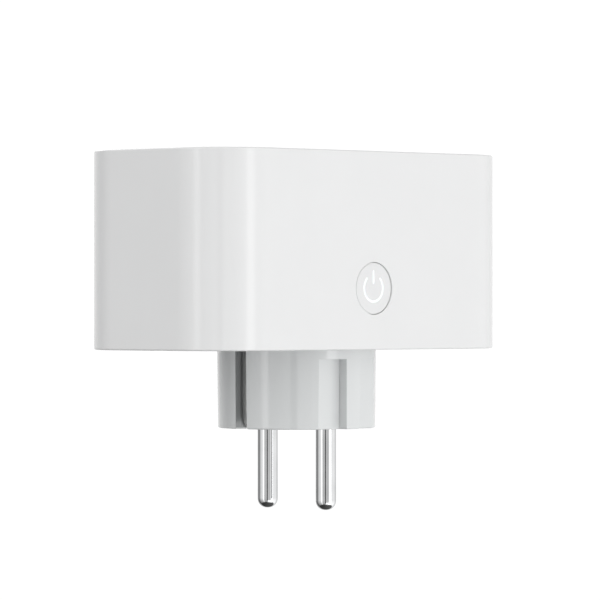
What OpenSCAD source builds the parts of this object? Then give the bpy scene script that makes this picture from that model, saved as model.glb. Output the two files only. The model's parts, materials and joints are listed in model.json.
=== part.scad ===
// Smart plug with two earthed sockets on top and an earthed two-pin plug below.
// Origin: centre of the plug's end face, where the pins come out.
// +Z points up to the sockets, -Y to the button, +X along the row of sockets.

/* [Housing] */
// Width of the housing along X
body_w = 99; // [98.5:0.5:110]
// Depth of the housing along Y
body_d = 50.5; // [50:0.5:60]
// Height of the housing along Z
body_h = 45.8; // [45.8:0.2:52]
// Radius of the housing's four upright corners
corner_r = 14.5; // [12:0.5:15]
// Wall thickness of the housing
wall = 2; // [1.6:0.1:2.2]

/* [Plug] */
// Radius of the round plug body
plug_r = 18.6; // [18.4:0.1:19]
// Length of the plug body below the housing
plug_depth = 18.4; // [18:0.1:19]
// Distance of the two side flats from the plug's centre plane
flat_y = 16.15; // [16:0.05:16.6]
// Width of the key rib in the middle of each side flat
rib_w = 4.7; // [4:0.1:5]
// Height of the full round collar above the flats
collar_h = 2.2; // [1.6:0.1:3]
// Width of the slot over each earth clip
slot_w = 3.4; // [3.3:0.1:5]
// Radius of a plug pin
pin_r = 2.4; // [2.4]
// Free length of a plug pin
pin_len = 19; // [19]
// Distance of the two pins from each other
pin_gap = 19; // [19]

/* [Sockets] */
// Distance of the two socket centres from each other
socket_pitch = 48; // [47:0.5:50]
// Radius of a socket well
well_r = 19.5; // [19.4:0.1:19.8]
// Depth of a socket well
well_depth = 17.5; // [17.5]
// Radius of a pin hole in the well floor
pin_hole_r = 2.9; // [2.8:0.05:3.1]

/* [Button] */
// Radius of the power button
button_r = 5.95; // [5:0.05:6.5]
// Offset of the button from the housing's middle, along X
button_x = -0.3; // [-1:0.1:1]
// Height of the button's centre above the housing's lower edge
button_up = 14.15; // [13:0.05:16]
// Depth of the button's face below the housing's front
button_recess = 0.2; // [0:0.05:0.3]
// Travel of the button and of the switch under it
button_travel = 0.5; // [0.3:0.1:0.6]

/* [Shutters] */
// Travel of a shutter from shut to open
shutter_travel = 7.4; // [7:0.1:7.6]

/* [Hidden] */
$fn = 72;
eps = 0.01;
gap = 0.1;              // fit between parts that sit in each other
fine = 0.03;            // fit of a metal part in its seat
side_y = pin_gap / 2;
body_z = plug_depth;
top_z = body_z + body_h;
inner_w = body_w - 2 * wall;
inner_d = body_d - 2 * wall;
inner_r = corner_r - wall;
boss_x = body_w / 2 - 7.7;
boss_y = body_d / 2 - 7.75;
boss_r = 3.2;
boss_top = 42;
plate_z = body_z + 0.6;
plate_t = 2;
plate_top = plate_z + plate_t;
panel_t = 2;
panel_z = top_z - panel_t;
panel_margin = 0.1;
well_wall = 1.8;
well_out = well_r + well_wall;
well_floor = top_z - well_depth;
floor_t = 2;
guide_y = 16.6;
guide_drop = 1.5;
notch_w = 5.5;
post_x = 44;            // the main board's two screws and their posts
board_z = plate_top + 4.2;
board_t = 1.6;
board_top = board_z + board_t;
button_z = body_z + button_up;
front_y = -body_d / 2;
cap_y = front_y + button_recess;
carrier_y = front_y + wall + 0.05;
cap_t = 1;              // thickness of the button cap's face
carrier_t = 0.8;
stem_r = 1.2;
switch_face_y = -18.3;
plunger_tip_y = switch_face_y - 1;
button_board_y = -15;
switch_r = 1.7;
socket_x = socket_pitch / 2;
tray_z = 39.6;
tray_floor = 1.5;
tray_top = well_floor - floor_t - gap;
shutter_z = tray_z + tray_floor + gap;
shutter_t = 3.4;
shutter_in = 4.4;       // reach of a shutter inwards from its socket's pin line
shutter_out = 4;        // reach outwards
shutter_y = 13;
shutter_wall_x = shutter_out + shutter_travel + 1.4;  // inner face of the tray's outer wall
spring_z = shutter_z + shutter_t / 2;
spring_hole_r = 1.25;
spring_seat = -1;       // bottom of the spring's hole in the shutter
clip_top = 39.2;
clip_z = 28.6;
clip_leaf = 2.75;       // distance of a contact leaf from the pin's axis
strip_t = 0.6;
clip_back_y = side_y + 2.9;  // the back of a socket's pin contact
earth_z = 43.9;
earth_low_z = plate_top + 1.8;
earth_hole_x = 10;
flange_r = 20.5;
slot_in = 15.65;        // floor of the slots over the earth clips
face_t = 3.5;
neck_r = pin_r - 0.5;   // a pin inside the plug's face, behind its free length
relay_w = 15.3;
relay_d = 18.8;
relay_h = 15.3;
relay_x = 9.75;         // centre of a relay from the middle
yoke_y = 7.4;           // outer face of the yoke's back, and the armature's hinge line
yoke_h = 12;
armature_open = 3.5;
transformer_x = -35.3;
leg_pitch = 2.65;       // distance of a core window from the transformer's middle
window_w = 2.7;
window_h = 6.3;
window_z = 2.6;

// ---------- shared shapes ----------

module rounded(w, d, r) {
    square([w - 2 * r, d], center = true);
    square([w, d - 2 * r], center = true);
    for (x = [-1, 1], y = [-1, 1])
        translate([x * (w / 2 - r), y * (d / 2 - r)]) circle(r);
}

module slab(w, d, h, z) {
    translate([-w / 2, -d / 2, z]) cube([w, d, h]);
}

module block(x0, x1, y0, y1, z0, z1) {
    translate([x0, y0, z0]) cube([x1 - x0, y1 - y0, z1 - z0]);
}

module rod(r, z0, z1) {
    translate([0, 0, z0]) cylinder(r = r, h = z1 - z0);
}

// A rod along Y, from y0 to y1, centred on the button's axis.
module button_rod(r, y0, y1) {
    translate([button_x, y0, button_z]) rotate([-90, 0, 0]) cylinder(r = r, h = y1 - y0);
}

module at_bosses() {
    for (x = [-1, 1], y = [-1, 1]) translate([x * boss_x, y * boss_y, 0]) children();
}

module at_posts() {
    for (x = [-1, 1]) translate([x * post_x, 0, 0]) children();
}

// Places a socket's own parts: the local +X points outwards from the middle of the object.
module at_socket(side) {
    if (side < 0) mirror([1, 0, 0]) translate([socket_x, 0, 0]) children();
    else translate([socket_x, 0, 0]) children();
}

module at_pins() {
    for (y = [-1, 1]) translate([0, y * side_y, 0]) children();
}

// Extrudes a flat shape drawn in the XZ plane to a width w along Y.
module across(w) {
    rotate([90, 0, 0]) translate([0, 0, -w / 2]) linear_extrude(w) children();
}

// A bent strip of sheet, from its inner line in the XZ plane, of width w along Y.
module strip(path, t, w) {
    across(w) polygon(concat(path, [for (i = [len(path) - 1 : -1 : 0]) path[i] + [t, 0]]));
}

// A coil spring along X, as one swept tube.
module coil(x0, x1, r, wire, turns, steps = 9) {
    sides = 6;
    n = turns * steps;
    tilt = atan((x1 - x0) / turns / (2 * PI * r));
    ring_points = [for (i = [0 : n], k = [0 : sides - 1])
        let (a = 360 * i / steps, b = 360 * k / sides, x = x0 + (x1 - x0) * i / n,
            out = wire * cos(b), up = wire * sin(b))
        [x + up * cos(tilt), (r + out) * cos(a) + up * sin(tilt) * sin(a),
            (r + out) * sin(a) - up * sin(tilt) * cos(a)]];
    walls = [for (i = [0 : n - 1], k = [0 : sides - 1], half = [0, 1])
        let (j = (k + 1) % sides, a = i * sides, b = a + sides)
        half == 0 ? [a + k, a + j, b + j] : [a + k, b + j, b + k]];
    ends = [[for (k = [sides - 1 : -1 : 0]) k], [for (k = [0 : sides - 1]) n * sides + k]];
    polyhedron(ring_points, concat(walls, ends), convexity = 10);
}

// ---------- housing ----------

module housing_shell() {
    ledge_w = 18;
    ledge_t = 1.2;
    color("white") difference() {
        union() {
            difference() {
                translate([0, 0, body_z]) linear_extrude(body_h) rounded(body_w, body_d, corner_r);
                translate([0, 0, body_z - eps]) linear_extrude(body_h + 2 * eps)
                    rounded(inner_w, inner_d, inner_r);
            }
            for (x = [-1, 1])
                translate([x * (inner_w / 2 - ledge_t / 2 + eps), 0, 0])
                    slab(ledge_t, ledge_w, 2, panel_z - 2 - fine);
            intersection() {
                at_bosses() rod(boss_r, plate_top + gap, boss_top);
                translate([0, 0, body_z]) linear_extrude(body_h) rounded(body_w - 1, body_d - 1, corner_r);
            }
            button_rod(button_r + 2.6, front_y + wall - eps, front_y + wall + 2.4);
        }
        at_bosses() rod(1.3, plate_top, plate_top + 14);
        button_rod(button_r + 0.15, front_y - 1, front_y + 5);
        button_rod(button_r + 1.4, front_y + wall, front_y + 5);
    }
}

module top_panel() {
    clear = 2 * (wall + panel_margin);
    color("white") difference() {
        translate([0, 0, panel_z]) linear_extrude(panel_t)
            rounded(body_w - clear, body_d - clear, inner_r - panel_margin);
        for (side = [-1, 1]) at_socket(side) rod(well_out + gap, panel_z - 1, top_z + 1);
    }
}

module base_plate() {
    margin = 0.15;
    color("white") difference() {
        union() {
            translate([0, 0, plate_z]) linear_extrude(plate_t)
                rounded(inner_w - 2 * margin, inner_d - 2 * margin, inner_r - margin);
            at_posts() rod(2.4, plate_top - eps, board_z - fine);
        }
        rod(plug_r + gap, plate_z - 1, board_z);
        at_bosses() {
            rod(1.45, plate_z - 1, plate_top + 1);
            rod(2.5, plate_z - 1, plate_z + 1);
        }
        at_posts() rod(1, plate_top - 1, board_z + 1);
    }
}

// Outline of the plug body below its collar: round, with two flats, each with a rib in the middle.
module plug_outline(r, y, rib) {
    intersection() {
        circle(r);
        union() {
            square([3 * r, 2 * y], center = true);
            if (rib > 0) square([rib, 3 * r], center = true);
        }
    }
}

module plug_body() {
    shell = 2;
    hook = 1.6;
    far = 30;
    collar_z = body_z - collar_h;
    flange_z = plate_top + fine;
    flange_top = flange_z + 1.4;
    color("lightgray") difference() {
        union() {
            linear_extrude(collar_z) plug_outline(plug_r, flat_y, rib_w);
            rod(plug_r, collar_z, flange_z);
            rod(flange_r, flange_z, flange_top);
        }
        difference() {
            translate([0, 0, face_t]) linear_extrude(flange_top)
                plug_outline(plug_r - shell, flat_y - shell, 0);
            for (x = [-1, 1]) translate([x * plug_r, 0, 0])
                slab(2 * (plug_r - slot_in + shell), slot_w + 2 * shell, far, -1);
        }
        // each slot, with a slanted pocket for the clip's hooked end
        for (x = [-1, 1]) mirror([x > 0 ? 0 : 1, 0, 0]) across(slot_w) polygon([
            [slot_in - hook, -1], [far, -1], [far, plate_z], [slot_in + 1.1, plate_z],
            [slot_in + 1.1, far], [slot_in, far], [slot_in, 3.9], [slot_in - hook, 1.6]]);
        at_pins() rod(neck_r + fine, -1, face_t + 1);
        translate([earth_hole_x, 0, 0]) {
            rod(3, -1, face_t + 1);
            rod(3.15, 0.8, face_t + 1);
        }
    }
}

module base_screws() {
    color("silver") at_bosses() {
        difference() {
            rod(2.35, plate_z + 0.1, plate_z + 1 - fine);
            translate([0, 0, plate_z - 1]) cylinder(r = 1.1, h = 1.7, $fn = 6);
        }
        rod(1.25, plate_z + 0.9, plate_top + 11);
    }
}

module board_screws() {
    color("silver") at_posts() {
        rod(0.95, plate_top + 0.5, board_top + 0.5);
        difference() {
            rod(1.9, board_top + fine, board_top + 1.3);
            slab(2.6, 0.5, 2, board_top + 0.7);
            slab(0.5, 2.6, 2, board_top + 0.7);
        }
    }
}

// ---------- sockets ----------

module well_cavity() {
    guide_top = top_z - guide_drop;
    translate([0, 0, well_floor]) linear_extrude(guide_top - well_floor)
        plug_outline(well_r, guide_y, notch_w);
    rod(well_r, guide_top - eps, top_z + 1);
}

module socket_well(side) {
    slot = 4.4;
    color("lightgray") at_socket(side) difference() {
        union() {
            rod(well_out, well_floor - floor_t, top_z);
            rod(well_out + 0.9, panel_z - 2, panel_z - fine);
        }
        well_cavity();
        at_pins() {
            rod(pin_hole_r, well_floor - floor_t - 1, top_z);
            translate([0, 0, well_floor - 0.6]) cylinder(r1 = pin_hole_r, r2 = pin_hole_r + 0.7, h = 0.7);
        }
        for (x = [-1, 1]) {
            translate([x * 19.4, 0, 0]) slab(2.4, slot, 14.5, well_floor);
            translate([x * 19, 0, 0]) slab(2.4, slot, 4, well_floor - 3);
        }
    }
}

module shutter_tray(side) {
    tray_wall = 1.2;
    in = shutter_in + 0.4;
    color("whitesmoke") at_socket(side) difference() {
        block(-in - tray_wall, shutter_wall_x + tray_wall,
            -shutter_y - 0.3 - tray_wall, shutter_y + 0.3 + tray_wall, tray_z, tray_top);
        block(-in, shutter_wall_x, -shutter_y - 0.3, shutter_y + 0.3, tray_z + tray_floor, tray_top + 1);
        at_pins() rod(pin_hole_r + 0.2, tray_z - 1, tray_top + 1);
    }
}

module shutter(side) {
    ramp_y0 = 5.6;
    ramp_len = 5.4;
    color("ivory") at_socket(side) difference() {
        block(-shutter_in, shutter_out, -shutter_y, shutter_y, shutter_z, shutter_z + shutter_t);
        for (y = [-1, 1])
            translate([0, y * (ramp_y0 + 10), 0]) rotate([90, 0, 0]) translate([0, 0, -10])
                linear_extrude(20) polygon([
                    [-shutter_in - 1, shutter_z + 0.7],
                    [-shutter_in, shutter_z + 0.7],
                    [-shutter_in + ramp_len, shutter_z + shutter_t],
                    [-shutter_in + ramp_len, shutter_z + shutter_t + 1],
                    [-shutter_in - 1, shutter_z + shutter_t + 1]]);
        translate([spring_seat, 0, spring_z]) rotate([0, 90, 0]) cylinder(r = spring_hole_r, h = 20);
    }
}

module shutter_spring(side) {
    wire = 0.18;
    color("silver") at_socket(side) translate([0, 0, spring_z])
        coil(spring_seat + wire + 0.12, shutter_wall_x - wire - 0.12, 0.9, wire, 9);
}

// Two leaves and a back that grip one pin, open upwards and inwards.
module pin_clip() {
    leaf_len = 6;
    for (x = [-1, 1])
        translate([x * (clip_leaf + strip_t / 2), 0, 0])
            block(-strip_t / 2, strip_t / 2, clip_back_y - leaf_len, clip_back_y + strip_t,
                clip_z, clip_top);
    block(-clip_leaf - strip_t, clip_leaf + strip_t, clip_back_y, clip_back_y + strip_t,
        clip_z, clip_top);
    block(-1.5, 1.5, clip_back_y, clip_back_y + strip_t, board_z - 0.8, clip_z + eps);
}

module neutral_bus() {
    color("goldenrod") union() {
        for (side = [-1, 1]) at_socket(side) pin_clip();
        block(-socket_x, socket_x, clip_back_y, clip_back_y + strip_t, clip_z + 1, clip_top - 3);
    }
}

module line_contact(side) {
    color("goldenrod") at_socket(side) mirror([0, 1, 0]) pin_clip();
}

module socket_earth_bracket(side) {
    spring_w = 3.2;
    rail_y = 15.6;
    rail_w = 3;
    inner_x = 17.2;
    outer_x = 19.8;
    spring_path = [[18.6, earth_z], [18.6, well_floor + 1.2], [16.3, well_floor + 6.6],
        [16.3, well_floor + 7.8], [18.6, well_floor + 13.4]];
    color("silver") at_socket(side) union() {
        for (x = [-1, 1]) {
            mirror([x > 0 ? 0 : 1, 0, 0]) {
                strip(spring_path, strip_t, spring_w);
                block(inner_x, outer_x, -spring_w / 2, rail_y + rail_w, earth_z, earth_z + strip_t);
            }
        }
        block(-outer_x, outer_x, rail_y, rail_y + rail_w, earth_z, earth_z + strip_t);
    }
}

module earth_bus() {
    leg_x = 7.5;
    leg_w = 4;
    leg_y = 17;
    reach = slot_in + 1.2;
    low_z = earth_low_z;
    top = earth_z - fine;
    color("silver") union() {
        block(-7, leg_x + leg_w / 2, leg_y - 1, leg_y + 1.6, top - strip_t, top);
        block(leg_x - leg_w / 2, leg_x + leg_w / 2, leg_y, leg_y + strip_t, low_z, top);
        block(leg_x - leg_w / 2, leg_x + leg_w / 2, -1.6, leg_y + strip_t, low_z, low_z + strip_t);
        block(-reach, reach, -1.6, 1.6, low_z, low_z + strip_t);
    }
}

// ---------- plug metalwork ----------

module plug_pin() {
    dome = 2.2;
    straight = pin_len - dome;
    shank_r = 1.6;
    color("silver") union() {
        rod(pin_r, -straight, -fine);
        rod(neck_r, -0.1, face_t + 0.6);
        rod(3.3, face_t + fine, face_t + 1.4);
        rod(shank_r, face_t + 1, board_top + 0.9);
        // rounded tip: a disc of radius pin_r - dome with a quarter-round edge of radius dome
        translate([0, 0, -straight]) mirror([0, 0, 1]) rotate_extrude() union() {
            square([pin_r - dome, dome]);
            intersection() {
                translate([pin_r - dome, 0]) circle(dome);
                square([pin_r, dome]);
            }
        }
    }
}

module plug_earth_clips() {
    clip_w = slot_w - 0.6;
    back_x = slot_in + 0.15;
    clip_path = [[back_x - 1.45, 0.5], [back_x - 0.95, 0.8], [back_x - 0.45, 1.6],
        [back_x - 0.1, 2.8], [back_x, 3.8], [back_x, earth_low_z - fine]];
    color("silver") for (x = [-1, 1])
        mirror([x > 0 ? 0 : 1, 0, 0]) strip(clip_path, 0.8, clip_w);
}

module earth_pin_sleeve() {
    color("goldenrod") translate([earth_hole_x, 0, 0]) difference() {
        rod(3.1, 0.85, 15.2);
        rod(2.5, 0, 14.2);
    }
}

// ---------- button ----------

module button_cap() {
    color("white") difference() {
        button_rod(button_r, cap_y, carrier_y - fine);
        button_rod(button_r - 0.9, cap_y + cap_t, carrier_y);
        icon(cap_y - 1, cap_y + cap_t + 1, fine);
    }
}

// The power mark: an open ring and a bar, from y0 to y1, grown by grow all round.
module icon(y0, y1, grow = 0) {
    ring_r = 3.45;
    line = 0.65;
    open_angle = 44;
    rise = 0.08;
    far = 9;
    translate([button_x, y1, button_z + rise]) rotate([90, 0, 0]) linear_extrude(y1 - y0) {
        difference() {
            circle(ring_r + grow);
            circle(ring_r - line - grow);
            polygon([[0, 0], [far * sin(open_angle), far * cos(open_angle)],
                [-far * sin(open_angle), far * cos(open_angle)]]);
        }
        translate([-line / 2 - grow, 0.85 - grow]) square([line + 2 * grow, 3.3 + 2 * grow]);
    }
}

module button_icon_lens() {
    lens_y = cap_y + cap_t + fine;
    color("white") union() {
        icon(cap_y, lens_y + 0.1);
        button_rod(button_r - 1, lens_y, lens_y + 0.6);
    }
}

module button_carrier() {
    color("white") difference() {
        union() {
            button_rod(button_r + 1.3, carrier_y, carrier_y + carrier_t);
            button_rod(stem_r, carrier_y, plunger_tip_y - 0.05);
        }
        for (x = [-1, 1]) translate([x * 3.9, 0, 0])
            button_rod(1.4, carrier_y - 1, carrier_y + 2);
    }
}

module switch_plunger() {
    color("dimgray") button_rod(switch_r, plunger_tip_y, switch_face_y + button_travel + 0.3);
}

module switch_body() {
    size = 6;
    color("silver") difference() {
        translate([button_x - size / 2, switch_face_y, button_z - size / 2])
            cube([size, button_board_y - switch_face_y - fine, size]);
        button_rod(switch_r + gap, switch_face_y - 1, switch_face_y + 2 * button_travel + 0.6);
    }
}

module button_board() {
    color("darkgreen") block(-9, 9, button_board_y, button_board_y + 1, board_top + fine, button_z + 7.5);
}

module status_leds() {
    color("lightyellow") for (x = [-1, 1]) translate([button_x + x * 4.6, 0, 0])
        block(-0.8, 0.8, button_board_y - 0.9, button_board_y - fine, button_z - 1.5, button_z + 1.5);
}

// ---------- electronics ----------

module main_board() {
    color("darkgreen") difference() {
        translate([0, 0, board_z]) linear_extrude(board_t) rounded(92, 41.6, 11);
        at_bosses() rod(boss_r + 0.5, board_z - 1, board_top + 1);
        at_pins() rod(1.6 + gap, board_z - 1, board_top + 1);
        at_posts() rod(1.1, board_z - 1, board_top + 1);
        for (x = [-1, 1], y = [-1, 1])
            translate([x * socket_x, y * (clip_back_y + strip_t / 2), 0]) slab(3.4, 1, 4, board_z - 1);
        block(5.2, 9.8, 16.8, 17.9, board_z - 1, board_top + 1);
    }
}

module radio_board() {
    color("darkgreen") block(-16, 2, 19.6, 20.5, board_top + fine, 43.5);
}

module radio_shield() {
    color("silver") block(-14.5, 0.5, 20.5 + fine, 22.6, board_top + 2, board_top + 13);
}

module at_relay(side) {
    translate([side * relay_x, 0, board_top + fine]) children();
}

module relay_base(side) {
    color("black") at_relay(side) slab(relay_w - 1.6, relay_d - 1.6, 2.4, 0.2);
}

module relay_case(side) {
    skin = 0.7;
    color("black") at_relay(side) difference() {
        slab(relay_w, relay_d, relay_h, 0);
        slab(relay_w - 2 * skin, relay_d - 2 * skin, relay_h, -skin);
    }
}

module relay_yoke(side) {
    color("gray") at_relay(side) union() {
        block(-4, 4, -2.6, yoke_y, 2.7, 3.6);
        block(-4, 4, yoke_y - 1.1, yoke_y, 3.5, yoke_h);
        rod(1.9, 3.5, yoke_h - 0.1);
    }
}

module relay_coil(side) {
    inner = 1.95;
    color("darkorange") at_relay(side) difference() {
        union() {
            rod(5.2, 3.65, 4.3);
            rod(4.7, 4.2, 11);
            rod(5.2, 10.9, 11.6);
        }
        rod(inner, 3, 12);
    }
}

// The armature hinges on the yoke's upper outer edge and stands open at rest.
module relay_armature(side) {
    color("silver") at_relay(side) translate([0, yoke_y, yoke_h]) rotate([-armature_open, 0, 0]) union() {
        block(-3.6, 3.6, -12.8, 0, fine, 0.9);
        block(-1.5, 1.5, -15.3, -6, 0.9 - eps, 1.2);
        translate([0, -14.2, 0]) rod(1, 0.4, 1);
    }
}

module relay_contact(side) {
    color("goldenrod") at_relay(side) translate([0, -6.8, 0]) union() {
        block(-1.5, 1.5, -1.7, -1.1, 2.7, 11.3);
        block(-1.5, 1.5, -1.7, 1, 10.9, 11.4);
        rod(1, 11.3, 12.15);
    }
}

module at_transformer() {
    translate([transformer_x, 0, board_top]) children();
}

module transformer_core() {
    color("dimgray") at_transformer() difference() {
        slab(13, 12, 11.3, 0.1);
        for (x = [-1, 1]) translate([x * leg_pitch, 0, 0]) slab(window_w, 14, window_h, window_z);
    }
}

// The coil former and its wire fill both windows and pass round the core's middle leg.
module transformer_winding() {
    side_w = window_w - 2 * gap;
    height = window_h - 2 * gap;
    length = 16;
    end = 1.9;
    color("gold") at_transformer() union() {
        for (x = [-1, 1]) translate([x * leg_pitch, 0, 0]) slab(side_w, length, height, window_z + gap);
        for (y = [-1, 1]) translate([0, y * (length - end) / 2, 0])
            slab(2 * leg_pitch, end, height, window_z + gap);
    }
}

module bulk_capacitors() {
    can_r = 3.15;
    color("black") for (y = [-1, 1]) translate([35.5, y * 7.4, 0])
        rotate_extrude() translate([0, board_top + 0.2]) {
            square([can_r - 0.3, 10.8]);
            square([can_r, 1]);
            translate([0, 1.6]) square([can_r, 9.2]);
        }
}

module filter_capacitor() {
    color("khaki") block(-37.5, -25.5, 14.8, 19.8, board_top + 0.3, board_top + 10.5);
}

module varistor() {
    color("royalblue") translate([-31, -16.5, board_top + 5.8]) rotate([90, 0, 0]) union() {
        translate([0, 0, -1.6]) cylinder(r = 5, h = 3.2);
        translate([-2.8, -5.8, -0.3]) cube([0.6, 3, 0.6]);
        translate([2.2, -5.8, -0.3]) cube([0.6, 3, 0.6]);
    }
}

module fuse() {
    color("white") translate([26, -17, board_top + 2.2]) rotate([0, 90, 0]) union() {
        cylinder(r = 1.7, h = 10);
        cylinder(r = 2, h = 2);
        translate([0, 0, 8]) cylinder(r = 2, h = 2);
    }
}

module rectifier() {
    legs = [28.4, 33.6];
    color("black") block(27, 35, 15.6, 20, board_top + 1, board_top + 4);
    color("silver") for (x = legs, y = [15, 20.01])
        block(x - 0.5, x + 0.5, y, y + 0.59, board_top + fine, board_top + 2.4);
}

module choke() {
    color("dimgray") translate([35.5, 0, 0]) union() {
        rod(3, board_top + 0.1, board_top + 1.1);
        rod(2.1, board_top + 1, board_top + 6);
        rod(3, board_top + 5.9, board_top + 6.9);
    }
}

module surface_chips() {
    color("black") {
        block(-19, -14, -19, -14, board_top + fine, board_top + 1.5);
        block(13, 16.5, -19, -15.5, board_top + fine, board_top + 1.2);
        block(27.5, 31.5, -3, 2, board_top + fine, board_top + 1.5);
    }
}

// ---------- one line per node ----------

housing_shell();
top_panel();
base_plate();
plug_body();
socket_well(-1);  // socket_well_left
socket_well(1);  // socket_well_right
shutter_tray(-1);  // shutter_tray_left
shutter_tray(1);  // shutter_tray_right
shutter(-1);  // shutter_left
shutter(1);  // shutter_right
shutter_spring(-1);  // shutter_spring_left
shutter_spring(1);  // shutter_spring_right
button_cap();
button_icon_lens();
button_carrier();
button_board();
switch_body();
switch_plunger();
status_leds();
main_board();
radio_board();
radio_shield();
relay_base(-1);  // relay_base_left
relay_base(1);  // relay_base_right
relay_case(-1);  // relay_case_left
relay_case(1);  // relay_case_right
relay_yoke(-1);  // relay_yoke_left
relay_yoke(1);  // relay_yoke_right
relay_coil(-1);  // relay_coil_left
relay_coil(1);  // relay_coil_right
relay_armature(-1);  // relay_armature_left
relay_armature(1);  // relay_armature_right
relay_contact(-1);  // relay_contact_left
relay_contact(1);  // relay_contact_right
transformer_core();
transformer_winding();
bulk_capacitors();
filter_capacitor();
varistor();
fuse();
rectifier();
choke();
surface_chips();
neutral_bus();
line_contact(-1);  // line_contact_left
line_contact(1);  // line_contact_right
earth_bus();
socket_earth_bracket(-1);  // socket_earth_bracket_left
socket_earth_bracket(1);  // socket_earth_bracket_right
translate([0, -side_y, 0]) plug_pin();  // plug_pin_line
translate([0, side_y, 0]) plug_pin();  // plug_pin_neutral
plug_earth_clips();
earth_pin_sleeve();
base_screws();
board_screws();
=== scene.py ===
"""Smart plug with two earthed sockets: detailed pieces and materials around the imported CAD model."""
import json
import math

import bmesh
import bpy
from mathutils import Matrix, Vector


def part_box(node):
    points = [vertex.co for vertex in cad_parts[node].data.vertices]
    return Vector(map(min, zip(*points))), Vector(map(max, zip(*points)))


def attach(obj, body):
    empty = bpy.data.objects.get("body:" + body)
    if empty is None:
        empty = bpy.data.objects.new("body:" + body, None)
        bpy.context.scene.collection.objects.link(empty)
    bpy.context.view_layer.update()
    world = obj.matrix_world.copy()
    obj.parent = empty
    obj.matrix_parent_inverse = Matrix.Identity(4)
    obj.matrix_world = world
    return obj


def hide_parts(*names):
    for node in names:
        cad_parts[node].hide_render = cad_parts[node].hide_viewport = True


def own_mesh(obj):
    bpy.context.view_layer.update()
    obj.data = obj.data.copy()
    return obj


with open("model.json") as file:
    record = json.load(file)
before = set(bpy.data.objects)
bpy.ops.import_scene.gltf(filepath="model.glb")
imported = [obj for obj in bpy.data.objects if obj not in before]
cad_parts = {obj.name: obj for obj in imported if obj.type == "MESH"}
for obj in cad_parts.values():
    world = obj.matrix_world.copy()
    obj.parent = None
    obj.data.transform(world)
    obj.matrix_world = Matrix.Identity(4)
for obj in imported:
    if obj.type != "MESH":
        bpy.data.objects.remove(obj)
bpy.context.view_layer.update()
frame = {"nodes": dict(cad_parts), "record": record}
MM = 0.001

# ---------- sizes, in millimetres, taken from the frame where it gives them ----------

def box_mm(node):
    low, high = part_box(node)
    return low / MM, high / MM


HOUSING_LOW, HOUSING_HIGH = box_mm("housing_shell")
PLUG_HIGH = box_mm("plug_body")[1]
PANEL_LOW, PANEL_HIGH = box_mm("top_panel")
BASE_LOW, BASE_HIGH = box_mm("base_plate")
CAP_LOW, CAP_HIGH = box_mm("button_cap")
WELL_LOW, WELL_HIGH = box_mm("socket_well_right")
PIN_LOW, PIN_HIGH = box_mm("plug_pin_neutral")

WALL = 2.0                          # thickness of the housing's walls
CORNER_R = 14.5                     # its upright corners
EDGE_R = 0.45                       # its upper and lower edges
SCREW_X, SCREW_Y = 41.8, 17.5
BUTTON_R = (CAP_HIGH.x - CAP_LOW.x) / 2
BUTTON_X = (CAP_LOW.x + CAP_HIGH.x) / 2
BUTTON_Z = (CAP_LOW.z + CAP_HIGH.z) / 2
HOLE_R = BUTTON_R + 0.09
SOCKET_X = (WELL_LOW.x + WELL_HIGH.x) / 2
WELL_R = 19.5
WELL_WALL = 1.8
WELL_FLOOR = WELL_LOW.z + 2
PIN_Y = (PIN_LOW.y + PIN_HIGH.y) / 2
PLUG_R = 18.6
PLUG_FLAT_Y = 16.15                 # the flats at the plug's sides
RIB_HALF = 2.35                     # half the width of the key rib in each flat
SLOT_HALF = 1.7                     # half the width of the slots for the earth clips
SLOT_FLOOR_X = 15.65
SLOT_INNER_R = 14.0                 # their pockets lie outside this radius
COLLAR_Z = HOUSING_LOW.z - 2.2      # the flats end under this full round collar
FACE_T = 3.5                        # thickness of the plug's end face
TURN = 2 * math.pi


# ---------- small helpers ----------

def side_name(side):
    return "right" if side > 0 else "left"


def add_object(name, data):
    made = bpy.data.objects.new(name, data)
    bpy.context.scene.collection.objects.link(made)
    return made


def add_node(tree, kind, *inputs, **settings):
    """A shader node. inputs are (socket, value) pairs, and a value that is a socket itself is linked."""
    node = tree.nodes.new("ShaderNode" + kind)
    for name, value in settings.items():
        setattr(node, name, value)
    for socket, value in inputs:
        if isinstance(value, bpy.types.NodeSocket):
            tree.links.new(value, node.inputs[socket])
        else:
            node.inputs[socket].default_value = value
    return node


def calculate(tree, operation, *values):
    return add_node(tree, "Math", *enumerate(values), operation=operation).outputs[0]


# ---------- camera ----------

CAMERA_AZIMUTH = math.radians(-45.8)
CAMERA_LENS = 270.8
CAMERA_DISTANCE = 1.0562
CAMERA_HEIGHT = 0.02987     # above the plug's end face
CAMERA_SIDESTEP = 0.0008
FORWARD = Vector((-math.sin(CAMERA_AZIMUTH), math.cos(CAMERA_AZIMUTH), 0))
RIGHT = Vector((FORWARD.y, -FORWARD.x, 0))


def make_camera():
    data = bpy.data.cameras.new("camera")
    data.lens = CAMERA_LENS
    data.sensor_width = 36
    data.clip_start = 0.01
    data.clip_end = 50
    camera = add_object("camera", data)
    camera.location = RIGHT * CAMERA_SIDESTEP - FORWARD * CAMERA_DISTANCE + Vector((0, 0, CAMERA_HEIGHT))
    camera.rotation_euler = (math.pi / 2, 0, CAMERA_AZIMUTH)
    bpy.context.scene.camera = camera


# ---------- light, backdrop and floor ----------

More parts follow.
